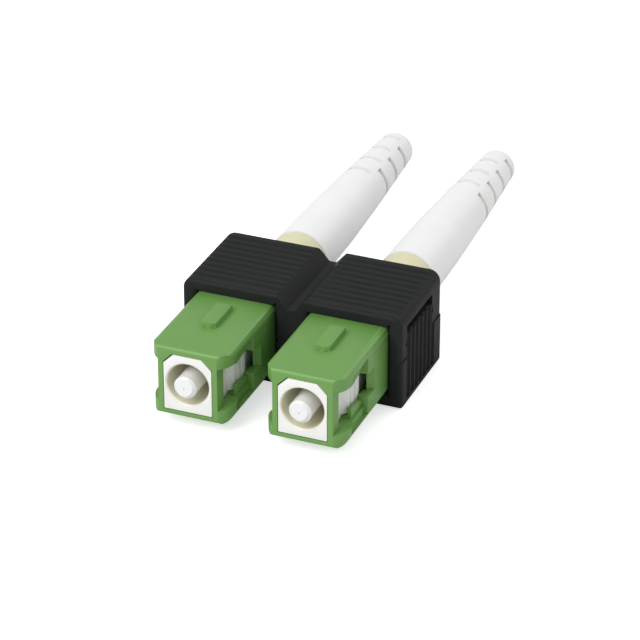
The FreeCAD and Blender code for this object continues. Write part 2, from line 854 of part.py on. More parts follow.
def upper_shell():
    """Upper half: its side walls are open where the lower half's snap tongues rise."""
    piece = shell("upper_shell", True)
    opening = tongue_outline("tongue_gap", "tongue_height + latch_gap")
    for sign, away in (("1", True), ("-1", False)):
        sketch = piece.polygons(
            "YZ_Plane", [opening],
            f"{sign} * ( pitch / 2 + sleeve_width / 2 - lock_groove_depth )",
        )
        piece.pocket(sketch, "housing_width", reverse=away)
    for place in ("peg_front", "peg_rear"):
        hole = piece.circle(
            "XY_Plane", f"{PEG_RADIUS} + peg_gap", centre=("0", both("housing_front", place))
        )
        piece.pocket(hole, "peg_height + peg_gap", reverse=True)
    return piece


def lower_shell():
    """Lower half: ribbed sides that rise in snap tongues, and two pegs that line up the halves."""
    piece = shell("lower_shell", False)
    inner = "pitch / 2 + sleeve_width / 2 + shell_gap"
    groove_start = both("housing_front", "side_groove_start")
    stripe = box(
        (groove_start, "-1 * ( housing_under - side_groove_base )"),
        (both(groove_start, "side_groove_width"), "2 * tongue_height"),
    )
    for sign, away in (("1", False), ("-1", True)):
        tongue = piece.polygons(
            "YZ_Plane", [tongue_outline("0", "tongue_height")], f"{sign} * ( {inner} )"
        )
        piece.pad(tongue, f"housing_width / 2 - ( {inner} )", reverse=away)
    for sign, away in (("1", True), ("-1", False)):
        groove = piece.polygons(
            "YZ_Plane", [stripe], f"{sign} * ( housing_width / 2 - side_groove_depth )"
        )
        cut = piece.pocket(groove, "housing_width", reverse=away)
        piece.repeat(cut, SIDE_GROOVES, "side_groove_pitch")
    for place in ("peg_front", "peg_rear"):
        peg = piece.circle("XY_Plane", PEG_RADIUS, centre=("0", both("housing_front", place)))
        piece.pad(peg, "peg_height")
    return piece


def channel(name, across, boot_turn):
    """All the pieces of one plug."""
    return [
        sleeve(f"{name}_sleeve", across),
        plug_frame(f"{name}_plug_frame", across),
        ferrule(f"{name}_ferrule", across),
        ferrule_holder(f"{name}_ferrule_holder", across),
        spring(f"{name}_spring", across),
        guide_tube(f"{name}_guide_tube", across),
        rear_body(f"{name}_rear_body", across),
        crimp_sleeve(f"{name}_crimp_sleeve", across),
        boot(f"{name}_boot", across, boot_turn),
    ]


def check_document():
    """Stop if any feature failed."""
    for item in document.Objects:
        if {"Invalid", "Error"} & set(item.State):
            raise RuntimeError(f"{item.Label} failed: {item.State}")


pieces = [upper_shell(), lower_shell()]
pieces += channel("left", "-1 * pitch / 2", 0)
pieces += channel("right", "pitch / 2", 90)
document.recompute()
check_document()
for piece in pieces:
    shape = piece.body.Shape
    if shape.isNull() or not shape.isValid() or len(shape.Solids) != 1:
        raise RuntimeError(f"{piece.body.Label} is not one sound solid")

os.makedirs("parts", exist_ok=True)
for piece in pieces:
    piece.body.Shape.exportStep(f"parts/{piece.body.Label}.step")
    print(piece.body.Label, round(piece.body.Shape.Volume, 3))
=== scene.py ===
"""Duplex SC fibre connector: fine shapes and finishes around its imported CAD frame.

Frame: X across the pair, Y from the ferrules (low) to the cable entries (high), Z up, in metres.
Pieces are shaped in millimetres and brought to metres when they are finished.
"""

import json
import math

import bmesh
import bpy
from mathutils import Matrix, Vector


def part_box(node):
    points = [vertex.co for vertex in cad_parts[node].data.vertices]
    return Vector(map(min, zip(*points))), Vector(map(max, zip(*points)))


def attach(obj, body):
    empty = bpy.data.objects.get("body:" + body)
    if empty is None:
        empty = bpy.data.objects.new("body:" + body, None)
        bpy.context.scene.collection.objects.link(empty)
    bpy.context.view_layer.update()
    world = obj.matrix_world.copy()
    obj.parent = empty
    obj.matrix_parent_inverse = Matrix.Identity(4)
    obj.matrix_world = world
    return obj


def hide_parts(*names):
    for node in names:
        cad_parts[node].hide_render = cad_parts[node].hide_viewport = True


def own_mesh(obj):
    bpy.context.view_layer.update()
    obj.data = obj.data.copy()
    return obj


bl_info = {
    "name": "Duplex SC connector",
    "version": (1, 0, 0),
    "blender": (4, 5, 0),
    "location": "3D View > Sidebar > Connector",
    "description": "Moulded shapes, finishes and a studio for a duplex SC fibre connector",
    "category": "Object",
}

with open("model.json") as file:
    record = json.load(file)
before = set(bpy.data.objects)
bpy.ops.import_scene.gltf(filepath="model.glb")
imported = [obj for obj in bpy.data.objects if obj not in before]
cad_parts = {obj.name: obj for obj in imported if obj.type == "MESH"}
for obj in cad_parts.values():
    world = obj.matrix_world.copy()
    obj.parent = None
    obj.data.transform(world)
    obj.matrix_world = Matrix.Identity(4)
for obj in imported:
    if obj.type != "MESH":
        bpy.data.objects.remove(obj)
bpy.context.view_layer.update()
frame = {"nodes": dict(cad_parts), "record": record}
MM = 0.001
SIDES = ("left", "right")
BODY_OF = {
    node: body
    for body, nodes in frame["record"]["behaviour"]["bodies"].items()
    for node in nodes
}


def box_mm(node):
    """Lowest and highest corners of a CAD node, in millimetres."""
    low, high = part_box(node)
    return Vector(low) / MM, Vector(high) / MM


def axis_mm(side):
    """Where a channel's axis crosses the plug frame's front face, in millimetres."""
    low, high = box_mm(f"{side}_boot")
    front = box_mm(f"{side}_plug_frame")[0].y
    return Vector(((low.x + high.x) / 2, front, (low.z + high.z) / 2))


# ---------------------------------------------------------------------------------------------
# Sizes and colours that a user would change
# ---------------------------------------------------------------------------------------------


def length(name, description, millimetres):
    return bpy.props.FloatProperty(
        name=name, description=description, default=millimetres * MM, min=0.0, precision=5,
        subtype="DISTANCE", unit="LENGTH",
    )


def colour(name, description, red, green, blue):
    return bpy.props.FloatVectorProperty(
        name=name, description=description, default=(red, green, blue), min=0.0, max=1.0,
        subtype="COLOR", size=3,
    )


def angle(name, description, degrees):
    return bpy.props.FloatProperty(
        name=name, description=description, default=math.radians(degrees), subtype="ANGLE",
    )


def count(name, description, value):
    return bpy.props.IntProperty(name=name, description=description, default=value, min=1)


class HousingLook(bpy.types.PropertyGroup):
    """Grip grooves, edges and finish of the housing's two shells."""

    edge_round: length("Edge round", "Radius on the housing's edges", 0.1)
    corner_round: length("Corner round", "Radius on the housing's corners", 0.45)
    opening_gap: length("Opening gap", "Between the sleeves and their openings", 0.02)
    top_grooves: count("Top grooves", "Grip grooves across each crest", 9)
    top_pitch: length("Top pitch", "Distance between grooves on top", 1.13)
    top_start: length("Top start", "First top groove, from the housing's front", 1.525)
    top_width: length("Top width", "Width of a groove on top", 0.94)
    top_depth: length("Top depth", "Depth of a groove on top", 0.24)
    top_inner: length("Top inner end", "Groove's end by the valley, from the middle", 1.55)
    top_outer: length("Top outer end", "Groove's end by the flank, from the middle", 12.2)
    bottom_outer: length("Bottom outer end", "As the top outer end, underneath", 11.4)
    side_grooves: count("Side grooves", "Grip grooves on each flank", 7)
    side_pitch: length("Side pitch", "Distance between grooves on the flanks", 1.2)
    side_start: length("Side start", "First side groove, from the housing's front", 1.95)
    side_width: length("Side width", "Width of a groove on the flanks", 1.0)
    side_depth: length("Side depth", "Depth of a groove on the flanks", 0.3)
    side_low: length("Side low end", "Height of a side groove's lower end", 0.65)
    side_high: length("Side high end", "Height of a side groove's upper end", 8.6)
    black: colour("Black", "Colour of the housing's plastic", 0.0200, 0.0216, 0.0209)


class SleeveLook(bpy.types.PropertyGroup):
    """Edges and finish of the coupling sleeves."""

    edge_round: length("Edge round", "Radius on the sleeves' edges", 0.12)
    corner_round: length("Corner round", "Radius on the sleeves' outer corners", 0.4)
    key_cut: length("Key cut", "How much shorter the key is made at its rear", 0.7)
    green: colour("Green", "Colour of the sleeves' plastic", 0.133, 0.302, 0.066)


class PlugLook(bpy.types.PropertyGroup):
    """Edges and finishes of the plug frames, rear bodies and inner pieces."""

    frame_round: length("Frame edge round", "Radius on the plug frames' edges", 0.08)
    barrel_round: length("Barrel edge round", "Radius on the rear bodies' edges", 0.1)
    white: colour("White", "Colour of the plug frames' plastic", 0.80, 0.80, 0.78)
    # Painted warm shade inside the socket: a yellower white that stands in for the warm, dim light
    # in there.
    socket: colour("Socket shade", "Colour inside the socket", 0.80, 0.78, 0.60)
    cream: colour("Cream", "Colour of the rear bodies' plastic", 0.72, 0.69, 0.45)
    ceramic: colour("Ceramic", "Colour of the ferrules", 0.76, 0.76, 0.76)


class BootLook(bpy.types.PropertyGroup):
    """Shape and finish of the bend-relief boots."""

    belly_radius: length("Belly radius", "Radius a third of the way along", 3.2)
    waist_radius: length("Waist radius", "Radius where the slots begin", 2.8)
    slot_start: length("Slot start", "First slot's middle, from the boot's front", 18.25)
    slot_pitch: length("Slot pitch", "Distance between slots of one set", 3.45)
    slot_width: length("Slot width", "Width of a slot along the boot", 0.85)
    slot_depth: length("Slot depth", "Depth of a slot below the boot's surface", 0.4)
    top_sweep: angle("Top sweep", "Angle that a slot on top or below spans", 58)
    side_sweep: angle("Side sweep", "Angle that a slot on the sides spans", 105)
    slots: count("Slots", "Slots in the set nearer the front", 4)
    edge_round: length("Edge round", "Radius on the slots' edges", 0.2)
    white: colour("White", "Colour of the boots' elastomer", 0.85, 0.85, 0.86)
    # Painted shade: a darker, yellower white down in the slots, where their floors and walls lie
    # in shade.
    recess: colour("Recess", "Colour down in the slots", 0.75, 0.74, 0.68)


class StageLook(bpy.types.PropertyGroup):
    """Lamps, backdrop and camera."""

    key_power: bpy.props.FloatProperty(
        name="Key power", description="Power of the large lamp in front", default=2.5, min=0.0,
        unit="POWER",
    )
    fill: bpy.props.FloatProperty(
        name="Fill", description="Strength of the light from all around", default=0.62, min=0.0,
    )
    lens: bpy.props.FloatProperty(
        name="Lens", description="Focal length of the camera", default=169.65, min=1.0,
        subtype="DISTANCE_CAMERA",
    )
    azimuth: angle("Azimuth", "Camera's turn from straight in front", 22.11)
    elevation: angle("Elevation", "Camera's height as an angle", 29.01)
    distance: length("Distance", "From the camera to its target", 313.23)


LOOKS = {
    "connector_housing": HousingLook,
    "connector_sleeve": SleeveLook,
    "connector_plug": PlugLook,
    "connector_boot": BootLook,
    "connector_stage": StageLook,
}


# ---------------------------------------------------------------------------------------------
# Node trees
# ---------------------------------------------------------------------------------------------

# How finely the cutters and the boots are divided.
BAR_SIDES = 56
SPINE_RINGS = 46
SKIN_SIDES = 96
BORE_SIDES = 64
BLOCK_POINTS = 21
# Share of a boot's rings that lie along its taper. The others go round its tip.
TAPER_SHARE = 0.82
# Where a slot's cutter starts and ends, as multiples of the radius of the slot's floor.
CUTTER_REACH = (1.0, 1.5)
# Depth below a boot's outside at which the painted shade in the slots starts, in millimetres.
SLOT_SHADE_START = 0.02


def add(tree, kind, inputs=None, **settings):
    """Add a node, set it up, and feed its inputs with values or other nodes' sockets."""
    node = tree.nodes.new(kind)
    for name, value in settings.items():
        setattr(node, name, value)
    for key, value in (inputs or {}).items():
        if isinstance(value, bpy.types.NodeSocket):
            tree.links.new(value, node.inputs[key])
        else:
            node.inputs[key].default_value = value
    return node


def maths(tree, operation, *values):
    node = add(tree, "ShaderNodeMath", dict(enumerate(values)), operation=operation)
    return node.outputs[0]


def vector_maths(tree, operation, *values, scale=None):
    inputs = dict(enumerate(values))
    if scale is not None:
        inputs["Scale"] = scale
    node = add(tree, "ShaderNodeVectorMath", inputs, operation=operation)
    return node.outputs[0]


def along_y(tree, value):
    node = add(tree, "ShaderNodeCombineXYZ", {"Y": value})
    return node.outputs[0]


def new_group(name, kind, inputs, outputs):
    """A node group with named sockets, and its two end nodes."""
    tree = bpy.data.node_groups.new(name, kind)
    for socket, socket_kind, default in inputs:
        made = tree.interface.new_socket(name=socket, in_out="INPUT", socket_type=socket_kind)
        if default is not None:
            made.default_value = default
    for socket, socket_kind in outputs:
        tree.interface.new_socket(name=socket, in_out="OUTPUT", socket_type=socket_kind)
    return tree, tree.nodes.new("NodeGroupInput"), tree.nodes.new("NodeGroupOutput")


def end_tree(tree, geometry, material, result):
    """Realize what a geometry tree has made and set its material."""
    real = add(tree, "GeometryNodeRealizeInstances", {"Geometry": geometry})
    dressed = add(
        tree, "GeometryNodeSetMaterial", {"Geometry": real.outputs[0], "Material": material}
    )
    tree.links.new(dressed.outputs[0], result.inputs[0])


def groove_tree():
    """Cut a row of round-bottomed grooves and its mirror image in a shell."""
    name = "grip_grooves"
    if name in bpy.data.node_groups:
        return bpy.data.node_groups[name]
    tree, given, result = new_group(
        name, "GeometryNodeTree",
        [
            ("Geometry", "NodeSocketGeometry", None),
            ("First", "NodeSocketVector", None),
            ("Outward", "NodeSocketVector", None),
            ("Turn", "NodeSocketVector", None),
            ("Grooves", "NodeSocketInt", 1),
            ("Pitch", "NodeSocketFloat", 1.0),
            ("Width", "NodeSocketFloat", 0.9),
            ("Depth", "NodeSocketFloat", 0.2),
            ("Length", "NodeSocketFloat", 1.0),
            ("Material", "NodeSocketMaterial", None),
        ],
        [("Geometry", "NodeSocketGeometry")],
    )
    tree.is_modifier = True
    size = given.outputs
    half = maths(tree, "DIVIDE", size["Width"], 2.0)
    squares = maths(
        tree, "ADD", maths(tree, "POWER", half, 2.0), maths(tree, "POWER", size["Depth"], 2.0)
    )
    radius = maths(tree, "DIVIDE", maths(tree, "DIVIDE", squares, 2.0), size["Depth"])
    lift = maths(tree, "SUBTRACT", radius, size["Depth"])
    start = vector_maths(
        tree, "ADD", size["First"], vector_maths(tree, "SCALE", size["Outward"], scale=lift)
    )
    rows = add(tree, "GeometryNodeJoinGeometry")
    for mirror in (1.0, -1.0):
        line = add(
            tree, "GeometryNodeMeshLine",
            {"Count": size["Grooves"],
             "Start Location": vector_maths(tree, "MULTIPLY", start, (mirror, 1.0, 1.0)),
             "Offset": along_y(tree, size["Pitch"])},
        )
        tree.links.new(line.outputs["Mesh"], rows.inputs[0])
    bar = add(
        tree, "GeometryNodeMeshCylinder",
        {"Vertices": BAR_SIDES, "Radius": radius, "Depth": size["Length"]},
    )
    bars = add(
        tree, "GeometryNodeInstanceOnPoints",
        {"Points": rows.outputs[0], "Instance": bar.outputs["Mesh"], "Rotation": size["Turn"]},
    )
    solid = add(tree, "GeometryNodeRealizeInstances", {"Geometry": bars.outputs[0]})
    cut = add(
        tree, "GeometryNodeMeshBoolean",
        {"Mesh 1": size["Geometry"], "Mesh 2": solid.outputs[0]},
        operation="DIFFERENCE", solver="EXACT",
    )
    end_tree(tree, cut.outputs["Mesh"], size["Material"], result)
    return tree


def boot_tree():
    """A tapered round boot with a stepped bore and two staggered sets of cross slots."""
    name = "bend_relief_boot"
    if name in bpy.data.node_groups:
        return bpy.data.node_groups[name]
    tree, given, result = new_group(
        name, "GeometryNodeTree",
        [
            ("Geometry", "NodeSocketGeometry", None),
            ("Front", "NodeSocketVector", None),
            ("Quarter Turn", "NodeSocketFloat", 0.0),
            ("Length", "NodeSocketFloat", 30.3),
            ("Front Radius", "NodeSocketFloat", 3.35),
            ("Belly Radius", "NodeSocketFloat", 3.2),
            ("Waist Radius", "NodeSocketFloat", 2.8),
            ("Tip Radius", "NodeSocketFloat", 2.1),
            ("Tip Round", "NodeSocketFloat", 0.45),
            ("Bore Radius", "NodeSocketFloat", 1.6),
            ("Socket Radius", "NodeSocketFloat", 2.15),
            ("Socket Depth", "NodeSocketFloat", 6.1),
            ("Belly Place", "NodeSocketFloat", 9.0),
            ("Waist Place", "NodeSocketFloat", 18.5),
            ("Slots", "NodeSocketInt", 4),
            ("Slot Start", "NodeSocketFloat", 18.2),
            ("Slot Pitch", "NodeSocketFloat", 3.45),
            ("Slot Width", "NodeSocketFloat", 0.9),
            ("Slot Depth", "NodeSocketFloat", 0.4),
            ("First Sweep", "NodeSocketFloat", 1.0),
            ("Second Sweep", "NodeSocketFloat", 1.8),
            ("Material", "NodeSocketMaterial", None),
        ],
        [("Geometry", "NodeSocketGeometry")],
    )
    tree.is_modifier = True
    size = given.outputs

    def between(value, low, high, first, last):
        """A clamped straight run from first to last while value goes from low to high."""
        run = {0: value, 1: low, 2: high, 3: first, 4: last}
        return add(tree, "ShaderNodeMapRange", run).outputs[0]

    def outside_radius(station):
        """Radius of the outside at a station, as three straight tapers end to end."""
        spans = (
            (0.0, size["Belly Place"], size["Front Radius"], size["Belly Radius"]),
            (size["Belly Place"], size["Waist Place"], size["Belly Radius"], size["Waist Radius"]),
            (size["Waist Place"], size["Length"], size["Waist Radius"], size["Tip Radius"]),
        )
        total = size["Front Radius"]
        for start, end, first, last in spans:
            total = maths(
                tree, "ADD", total,
                between(station, start, end, 0.0, maths(tree, "SUBTRACT", last, first)),
            )
        return total

    def loft(spine, radius, sides):
        """A capped round solid that follows a spine."""
        ring = add(
            tree, "GeometryNodeCurvePrimitiveCircle", {"Resolution": sides, "Radius": 1.0}
        )
        return add(
            tree, "GeometryNodeCurveToMesh",
            {"Curve": spine, "Profile Curve": ring.outputs[0], "Scale": radius,
             "Fill Caps": True},
        ).outputs[0]

    def rod(start, end, radius):
        """A straight solid rod along Y between two stations."""
        line = add(
            tree, "GeometryNodeCurvePrimitiveLine",
            {"Start": along_y(tree, start), "End": along_y(tree, end)},
        )
        return loft(line.outputs[0], radius, BORE_SIDES)

    # The spine's points are spread evenly along the taper, then around the rounded tip.
    index = add(tree, "GeometryNodeInputIndex").outputs[0]
    share_along = maths(tree, "DIVIDE", index, SPINE_RINGS - 1.0)
    body_end = maths(tree, "SUBTRACT", size["Length"], size["Tip Round"])
    sweep = between(share_along, TAPER_SHARE, 1.0, 0.0, math.pi / 2)
    station = maths(
        tree, "ADD", between(share_along, 0.0, TAPER_SHARE, 0.0, body_end),
        maths(tree, "MULTIPLY", size["Tip Round"], maths(tree, "SINE", sweep)),
    )
    dip = maths(
        tree, "MULTIPLY", size["Tip Round"],
        maths(tree, "SUBTRACT", 1.0, maths(tree, "COSINE", sweep)),
    )
    line = add(tree, "GeometryNodeCurvePrimitiveLine")
    evenly = add(
        tree, "GeometryNodeResampleCurve", {"Curve": line.outputs[0], "Count": SPINE_RINGS}
    )
    spine = add(
        tree, "GeometryNodeSetPosition",
        {"Geometry": evenly.outputs[0], "Position": along_y(tree, station)},
    ).outputs[0]
    skin = loft(spine, maths(tree, "SUBTRACT", outside_radius(station), dip), SKIN_SIDES)
    bore = rod(1.0, maths(tree, "ADD", size["Length"], 1.0), size["Bore Radius"])
    socket = rod(-1.0, size["Socket Depth"], size["Socket Radius"])
    cutters = [bore, socket]

    here = add(tree, "GeometryNodeInputPosition").outputs[0]
    place = add(tree, "ShaderNodeSeparateXYZ", {0: here})
    outside_here = outside_radius(place.outputs["Y"])

    # One slot's cutter: a block bent round the axis, its inner face at a radius of one.
    block = add(
        tree, "GeometryNodeMeshCube", {"Size": (1.0, 1.0, 1.0), "Vertices X": BLOCK_POINTS}
    ).outputs["Mesh"]
    near, far = CUTTER_REACH
    reach = maths(tree, "MULTIPLY_ADD", place.outputs["Z"], far - near, (near + far) / 2)
    bent = []
    for sweep_name in ("First Sweep", "Second Sweep"):
        bend = maths(tree, "MULTIPLY", place.outputs["X"], size[sweep_name])
        curled = add(
            tree, "ShaderNodeCombineXYZ",
            {"X": maths(tree, "MULTIPLY", reach, maths(tree, "SINE", bend)),
             "Y": maths(tree, "MULTIPLY", place.outputs["Y"], size["Slot Width"]),
             "Z": maths(tree, "MULTIPLY", reach, maths(tree, "COSINE", bend))},
        )
        bent.append(add(
            tree, "GeometryNodeSetPosition",
            {"Geometry": block, "Position": curled.outputs[0]},
        ).outputs[0])
    floor = maths(tree, "SUBTRACT", outside_here, size["Slot Depth"])
    wrap = add(tree, "ShaderNodeCombineXYZ", {"X": floor, "Y": 1.0, "Z": floor}).outputs[0]
    for quarter in range(4):
        lag = maths(tree, "MULTIPLY", size["Slot Pitch"], 0.5 * (quarter % 2))
        first = maths(tree, "ADD", size["Slot Start"], lag)
        row = add(
            tree, "GeometryNodeMeshLine",
            {"Count": maths(tree, "SUBTRACT", size["Slots"], float(quarter % 2)),
             "Start Location": along_y(tree, first),
             "Offset": along_y(tree, size["Slot Pitch"])},
        )
        slots = add(
            tree, "GeometryNodeInstanceOnPoints",
            {"Points": row.outputs["Mesh"], "Instance": bent[quarter % 2],
             "Rotation": (0.0, quarter * math.pi / 2, 0.0), "Scale": wrap},
        )
        real = add(tree, "GeometryNodeRealizeInstances", {"Geometry": slots.outputs[0]})
        cutters.append(real.outputs[0])
    cut = add(
        tree, "GeometryNodeMeshBoolean", {"Mesh 1": skin}, operation="DIFFERENCE", solver="EXACT"
    )
    for cutter in cutters:
        tree.links.new(cutter, cut.inputs["Mesh 2"])

    # How far a point lies below the outside sets how much painted shade it gets.
    off_axis = add(
        tree, "ShaderNodeVectorMath",
        {0: vector_maths(tree, "MULTIPLY", here, (1.0, 0.0, 1.0))}, operation="LENGTH",
    ).outputs["Value"]
    below = maths(tree, "SUBTRACT", outside_here, off_axis)
    marked = add(
        tree, "GeometryNodeStoreNamedAttribute",
        {"Geometry": cut.outputs["Mesh"], "Name": "recess",
         "Value": between(below, SLOT_SHADE_START, size["Slot Depth"], 0.0, 1.0)},
        data_type="FLOAT", domain="POINT",
    )
    turn = maths(tree, "MULTIPLY", size["Quarter Turn"], math.pi / 2)
    placed = add(
        tree, "GeometryNodeTransform",
        {"Geometry": marked.outputs[0], "Translation": size["Front"],
         "Rotation": along_y(tree, turn)},
    )
    end_tree(tree, placed.outputs[0], size["Material"], result)
    return tree


def use_tree(piece, tree, values):
    """Put a geometry node tree on a piece and set its inputs by their identifiers."""
    modifier = piece.modifiers.new(tree.name, "NODES")
    modifier.node_group = tree
    for item in tree.interface.items_tree:
        if item.in_out == "INPUT" and item.name in values:
            modifier[item.identifier] = values[item.name]
    return modifier


# ---------------------------------------------------------------------------------------------
# Finishes
# ---------------------------------------------------------------------------------------------


TUBE_WHITE = (0.8, 0.8, 0.78)
NICKEL = (0.72, 0.71, 0.67)
STEEL = (0.58, 0.58, 0.58)
# How much paler than the plastic its flecks are.
FLECK_GAIN = 2.4
# The painted warm shade inside the socket fades in from the first to the second distance from the
# axis, in mm.
SOCKET_SHADE_FADE = (2.52, 2.36)


def skin_group():
    """Moulded plastic: a fine grain, and a slow drift of its colour and gloss."""
    name = "moulded_skin"
    if name in bpy.data.node_groups:
        return bpy.data.node_groups[name]
    tree, given, result = new_group(
        name, "ShaderNodeTree",
        [
            ("Colour", "NodeSocketColor", (0.5, 0.5, 0.5, 1.0)),
            ("Roughness", "NodeSocketFloat", 0.4),
            ("Grain per mm", "NodeSocketFloat", 12.0),
            ("Grain depth", "NodeSocketFloat", 0.1),
            ("Drift", "NodeSocketFloat", 0.05),
        ],
        [
            ("Colour", "NodeSocketColor"),
            ("Roughness", "NodeSocketFloat"),
            ("Normal", "NodeSocketVector"),
        ],
    )
    size = given.outputs
    place = add(tree, "ShaderNodeTexCoord").outputs["Object"]
    scale = maths(tree, "MULTIPLY", size["Grain per mm"], 1000.0)
    grain = add(
        tree, "ShaderNodeTexNoise",
        {"Vector": place, "Scale": scale, "Detail": 2.0, "Roughness": 0.6},
    )
    slow = add(
        tree, "ShaderNodeTexNoise",
        {"Vector": place, "Scale": 260.0, "Detail": 3.0, "Roughness": 0.55},
    )
    centred = maths(tree, "SUBTRACT", slow.outputs["Fac"], 0.5)
    drift = maths(tree, "MULTIPLY", centred, maths(tree, "MULTIPLY", size["Drift"], 2.0))
    value = maths(tree, "ADD", drift, 1.0)
    tinted = add(
        tree, "ShaderNodeHueSaturation", {"Color": size["Colour"], "Value": value}
    )
    gloss = maths(tree, "ADD", size["Roughness"], maths(tree, "MULTIPLY", drift, 0.8))
    bump = add(
        tree, "ShaderNodeBump",
        {"Height": grain.outputs["Fac"], "Strength": size["Grain depth"], "Distance": 0.00002},
    )
    tree.links.new(tinted.outputs[0], result.inputs["Colour"])
    tree.links.new(gloss, result.inputs["Roughness"])
    tree.links.new(bump.outputs[0], result.inputs["Normal"])
    return tree


def flecks_group():
    """Sparse pale flecks, as lint and scuffs leave on a dark moulding."""
    name = "flecks"
    if name in bpy.data.node_groups:
        return bpy.data.node_groups[name]
    tree, given, result = new_group(
        name, "ShaderNodeTree",
        [
            ("Flecks per mm", "NodeSocketFloat", 1.5),
            ("Coverage", "NodeSocketFloat", 0.2),
        ],
        [("Mask", "NodeSocketFloat")],
    )
    size = given.outputs
    place = add(tree, "ShaderNodeTexCoord").outputs["Object"]
    scale = maths(tree, "MULTIPLY", size["Flecks per mm"], 1000.0)
    noise = add(
        tree, "ShaderNodeTexNoise",
        {"Vector": place, "Scale": scale, "Detail": 4.0, "Roughness": 0.7},
    )
    threshold = maths(tree, "SUBTRACT", 0.78, maths(tree, "MULTIPLY", size["Coverage"], 0.3))
    mask = add(
        tree, "ShaderNodeMapRange",
        {0: noise.outputs["Fac"], 1: threshold, 2: maths(tree, "ADD", threshold, 0.08)},
    )
    tree.links.new(mask.outputs[0], result.inputs["Mask"])
    return tree


def finish(name, tint, roughness, grain, depth, drift, **extra):
    """A moulded finish in one colour. The extra values go to the shader's own inputs."""
    name = f"{name}_finish"
    if name in bpy.data.materials:
        return bpy.data.materials[name]
    material = bpy.data.materials.new(name)
    material.use_nodes = True
    tree = material.node_tree
    shader = tree.nodes["Principled BSDF"]
    skin = add(
        tree, "ShaderNodeGroup",
        {"Colour": (*tint, 1.0), "Roughness": roughness, "Grain per mm": grain,
         "Grain depth": depth, "Drift": drift},
        node_tree=skin_group(),
    )
    tree.links.new(skin.outputs["Colour"], shader.inputs["Base Color"])
    tree.links.new(skin.outputs["Roughness"], shader.inputs["Roughness"])
    tree.links.new(skin.outputs["Normal"], shader.inputs["Normal"])
    for socket, value in extra.items():
        shader.inputs[socket.replace("_", " ")].default_value = value
    return material


def overlaid(material):
    """Whether a material already has its second colour."""
    return "overlay" in material.node_tree.nodes


def overlay(material, mask, tint):
    """Lay a second colour over a finish where the mask is up."""
    tree = material.node_tree
    base = tree.nodes["Principled BSDF"].inputs["Base Color"]
    mix = add(
        tree, "ShaderNodeMix", {0: mask, 6: base.links[0].from_socket, 7: (*tint, 1.0)},
        data_type="RGBA", name="overlay",
    )
    tree.links.new(mix.outputs[2], base)


def black_finish():
    """The housing's black, with flecks."""
    look = bpy.context.scene.connector_housing
    material = finish(
        "black_plastic", look.black, roughness=0.5, grain=9.0, depth=0.55, drift=0.22,
        Specular_IOR_Level=0.07,
    )
    if overlaid(material):
        return material
    flecks = add(
        material.node_tree, "ShaderNodeGroup", {"Flecks per mm": 2.2, "Coverage": 0.35},
        node_tree=flecks_group(),
    )
    pale = tuple(min(1.0, level * FLECK_GAIN) for level in look.black)
    overlay(material, flecks.outputs["Mask"], pale)
    return material


def white_finish():
    """The plug frames' white, with painted warm shade inside the socket."""
    look = bpy.context.scene.connector_plug
    material = finish(
        "white_plastic", look.white, roughness=0.38, grain=10.0, depth=0.1, drift=0.03
    )
    if overlaid(material):
        return material
    tree = material.node_tree
    axis = axis_mm("right") * MM
    place = add(tree, "ShaderNodeTexCoord").outputs["Object"]
    split = add(tree, "ShaderNodeSeparateXYZ", {0: place})
    across = maths(
        tree, "SUBTRACT", maths(tree, "ABSOLUTE", split.outputs["X"]), axis.x
    )
    up = maths(tree, "SUBTRACT", split.outputs["Z"], axis.z)
    radius = maths(
        tree, "SQRT",
        maths(tree, "ADD", maths(tree, "POWER", across, 2.0), maths(tree, "POWER", up, 2.0)),
    )
    # Paint warm shade into the white inside the socket, by distance from the channel's axis.
    outer, inner = SOCKET_SHADE_FADE
    mask = add(tree, "ShaderNodeMapRange", {0: radius, 1: outer * MM, 2: inner * MM})
    overlay(material, mask.outputs[0], look.socket)
    return material


def elastomer_finish():
    """The boots' white, with painted shade down in the slots."""
    look = bpy.context.scene.connector_boot
    material = finish(
        "white_elastomer", look.white, roughness=0.46, grain=7.0, depth=0.3, drift=0.04
    )
    if overlaid(material):
        return material
    # The stored depth paints shade into the slots.
    recess = add(material.node_tree, "ShaderNodeAttribute", attribute_name="recess")
    overlay(material, recess.outputs["Fac"], look.recess)
    return material


# ---------------------------------------------------------------------------------------------
# Shapes
# ---------------------------------------------------------------------------------------------


# Distances in millimetres within which vertices are one, or an edge is a sliver.
WELD_CAD = 0.001
WELD_PIECE = 0.002
SLIVER = 0.001
# How close in millimetres a vertex has to be to a level to count as lying in it.
NEAR = 0.01
# Faces that meet at less than this angle, in degrees, are one flat face.
FLAT_ANGLE = 0.3
# How each kind of sleeve edge is rounded, by the axes of the two planes that meet in it.
SLEEVE_WEIGHTS = {(0, 2): 1.0, (1, 2): 0.5, (0, 1): 0.6}
# A key stands out at least this far, and the part at its rear that moves is this long, in mm.
KEY_RISE = 0.05
KEY_REAR = 0.8


def copy_in_mm(node):
    """A welded copy of a CAD node's mesh, in millimetres, on a new object."""
    mesh = frame["nodes"][node].data.copy()
    mesh.materials.clear()
    mesh.transform(Matrix.Scale(1 / MM, 4))
    build = bmesh.new()
    build.from_mesh(mesh)
    bmesh.ops.remove_doubles(build, verts=build.verts, dist=WELD_CAD)
    bmesh.ops.dissolve_limit(
        build, angle_limit=math.radians(FLAT_ANGLE), verts=build.verts, edges=build.edges
    )
    bmesh.ops.triangulate(build, faces=[face for face in build.faces if len(face.verts) > 4])
    build.to_mesh(mesh)
    build.free()
    for layer in [attribute for attribute in mesh.attributes if attribute.name == "custom_normal"]:
        mesh.attributes.remove(layer)
    piece = bpy.data.objects.new("shaping", mesh)
    bpy.context.scene.collection.objects.link(piece)
    return piece


